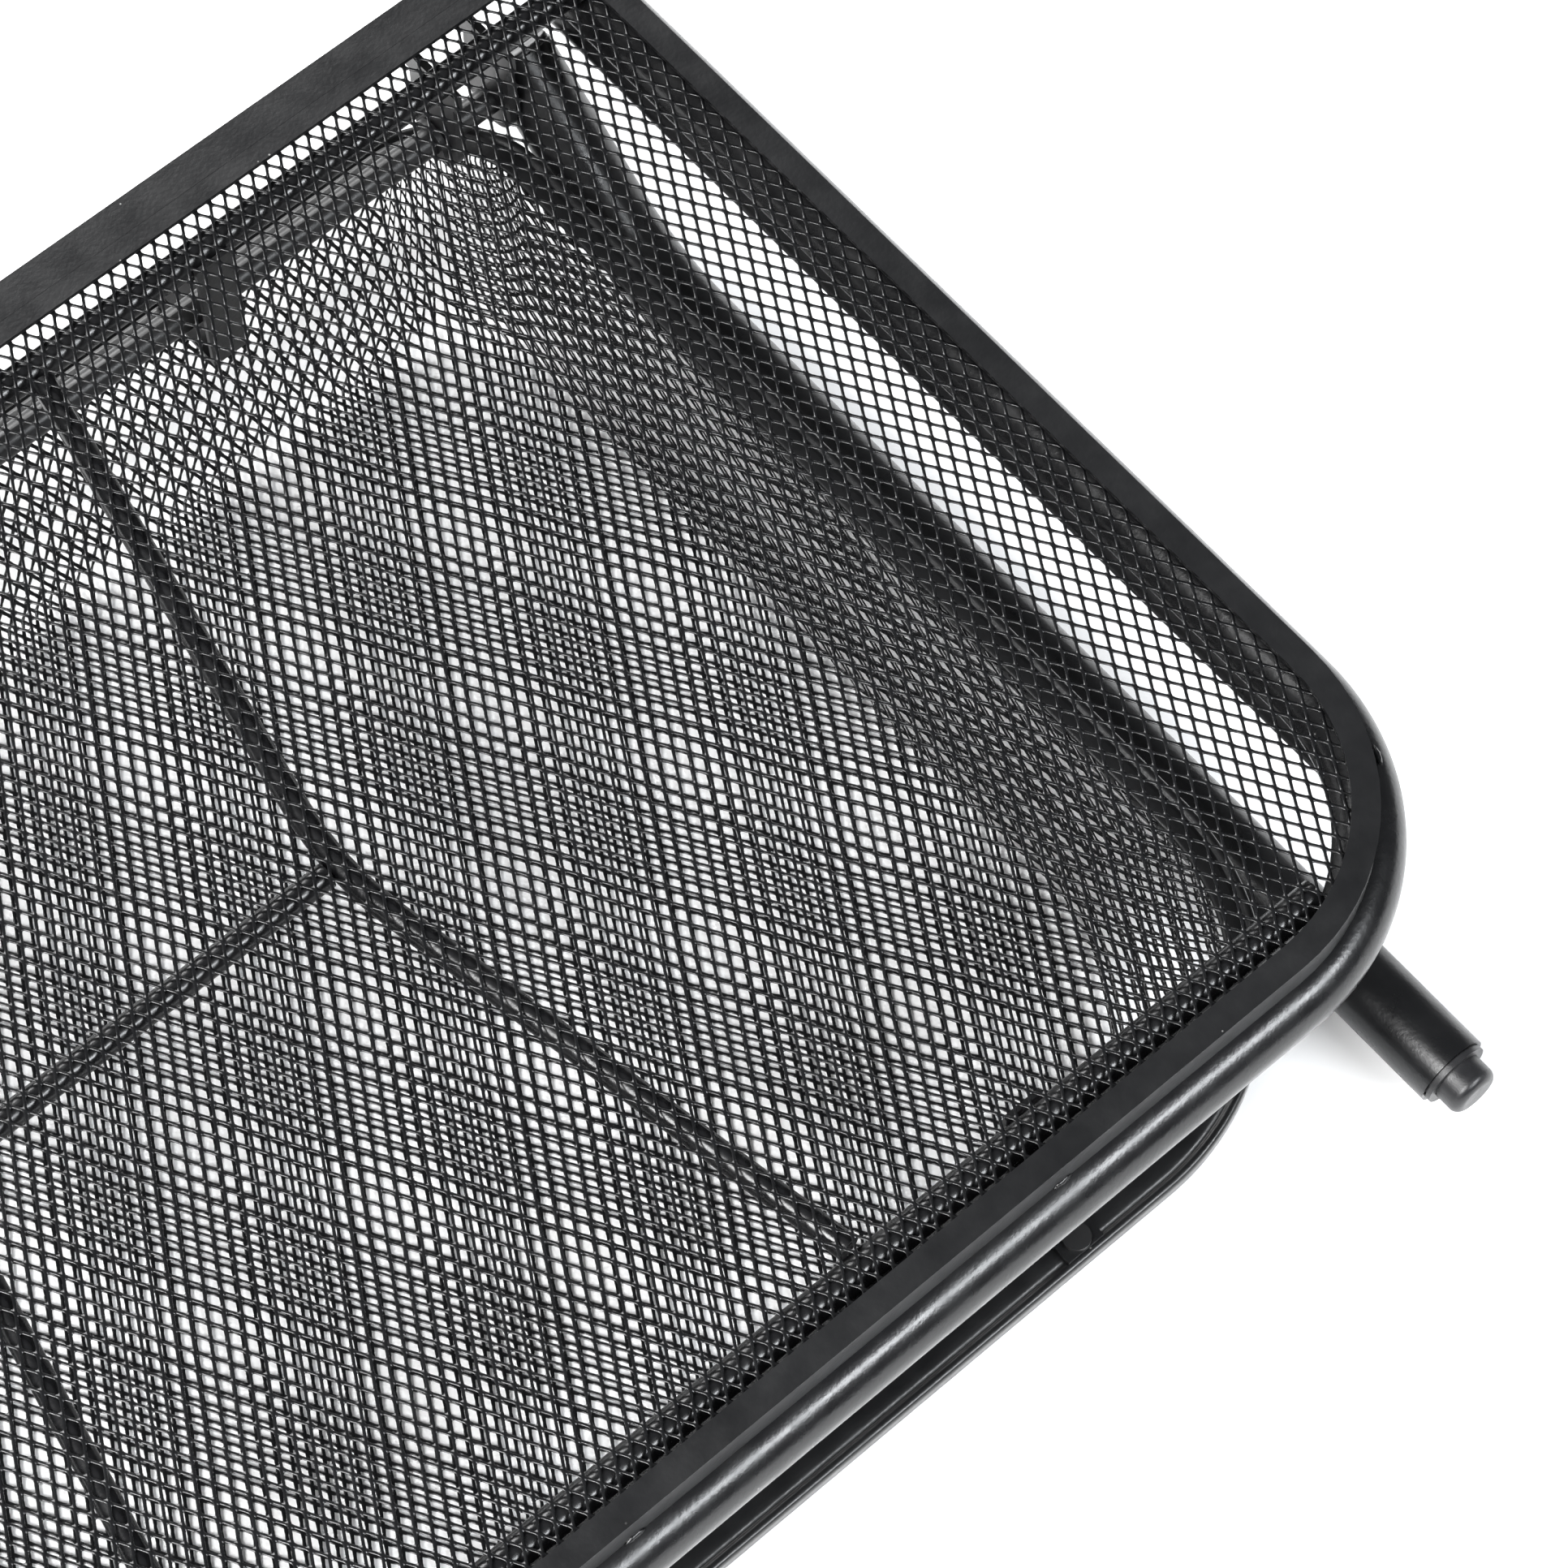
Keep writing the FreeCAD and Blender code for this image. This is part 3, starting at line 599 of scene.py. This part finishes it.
# ---- stage ------------------------------------------------------------------------------
def floor_paint():
    """Matt, nearly white, with a very slow drift in tone."""
    m, nodes, links, shader = nodes_of("studio_floor")
    space = nodes.new("ShaderNodeTexCoord").outputs["Object"]
    drift = noise(nodes, links, space, STAGE_DRIFT)
    tone = ramp(nodes, links, drift.outputs["Fac"], STAGE_TONES)
    links.new(tone.outputs["Color"], shader.inputs["Base Color"])
    shader.inputs["Roughness"].default_value = STAGE_ROUGHNESS
    shader.inputs["Specular IOR Level"].default_value = STAGE_SPECULAR
    return m


floor_mesh = bpy.data.meshes.new("studio_floor")
floor_corners = [(-STAGE_SIZE, -STAGE_SIZE, STAGE_Z), (STAGE_SIZE, -STAGE_SIZE, STAGE_Z),
                 (STAGE_SIZE, STAGE_SIZE, STAGE_Z), (-STAGE_SIZE, STAGE_SIZE, STAGE_Z)]
floor_mesh.from_pydata(floor_corners, [], [(0, 1, 2, 3)])
floor_mesh.materials.append(floor_paint())
floor = bpy.data.objects.new("studio_floor", floor_mesh)
bpy.context.scene.collection.objects.link(floor)

world = bpy.data.worlds.new("studio")
bpy.context.scene.world = world
world.use_nodes = True
world.node_tree.nodes["Background"].inputs["Color"].default_value = SKY
world.node_tree.nodes["Background"].inputs["Strength"].default_value = SKY_STRENGTH


def softbox(name, toward, distance, width, height, watts, colour):
    """An area light in a direction from the table, facing it."""
    light = bpy.data.lights.new(name, "AREA")
    light.shape = "RECTANGLE"
    light.size, light.size_y = width, height
    light.energy = watts
    light.color = colour
    thing = bpy.data.objects.new(name, light)
    d = Vector(toward).normalized()
    thing.location = d * distance
    thing.rotation_euler = (-d).to_track_quat("-Z", "Y").to_euler()
    bpy.context.scene.collection.objects.link(thing)


for settings in SOFTBOXES:
    softbox(*settings)
bpy.context.scene.view_settings.view_transform = "Standard"


# ---- camera -------------------------------------------------------------------------------
def camera_turn():
    """Rotation that looks down at the pitch and along the yaw, with the horizon level."""
    cos_pitch, sin_pitch = math.cos(CAMERA_PITCH), math.sin(CAMERA_PITCH)
    cos_yaw, sin_yaw = math.cos(CAMERA_YAW), math.sin(CAMERA_YAW)
    forward = Vector((-sin_yaw * cos_pitch, cos_yaw * cos_pitch, -sin_pitch))
    right = Vector((cos_yaw, sin_yaw, 0.0))
    up = right.cross(forward)
    return Matrix((right, up, -forward)).transposed().to_4x4()


camera = bpy.data.cameras.new("camera")
camera.lens = CAMERA_LENS
camera.sensor_width = CAMERA_SENSOR
camera.clip_start, camera.clip_end = CAMERA_CLIP
eye = bpy.data.objects.new("camera", camera)
eye.matrix_world = Matrix.Translation(CAMERA_AT) @ camera_turn()
bpy.context.scene.collection.objects.link(eye)
bpy.context.scene.camera = eye
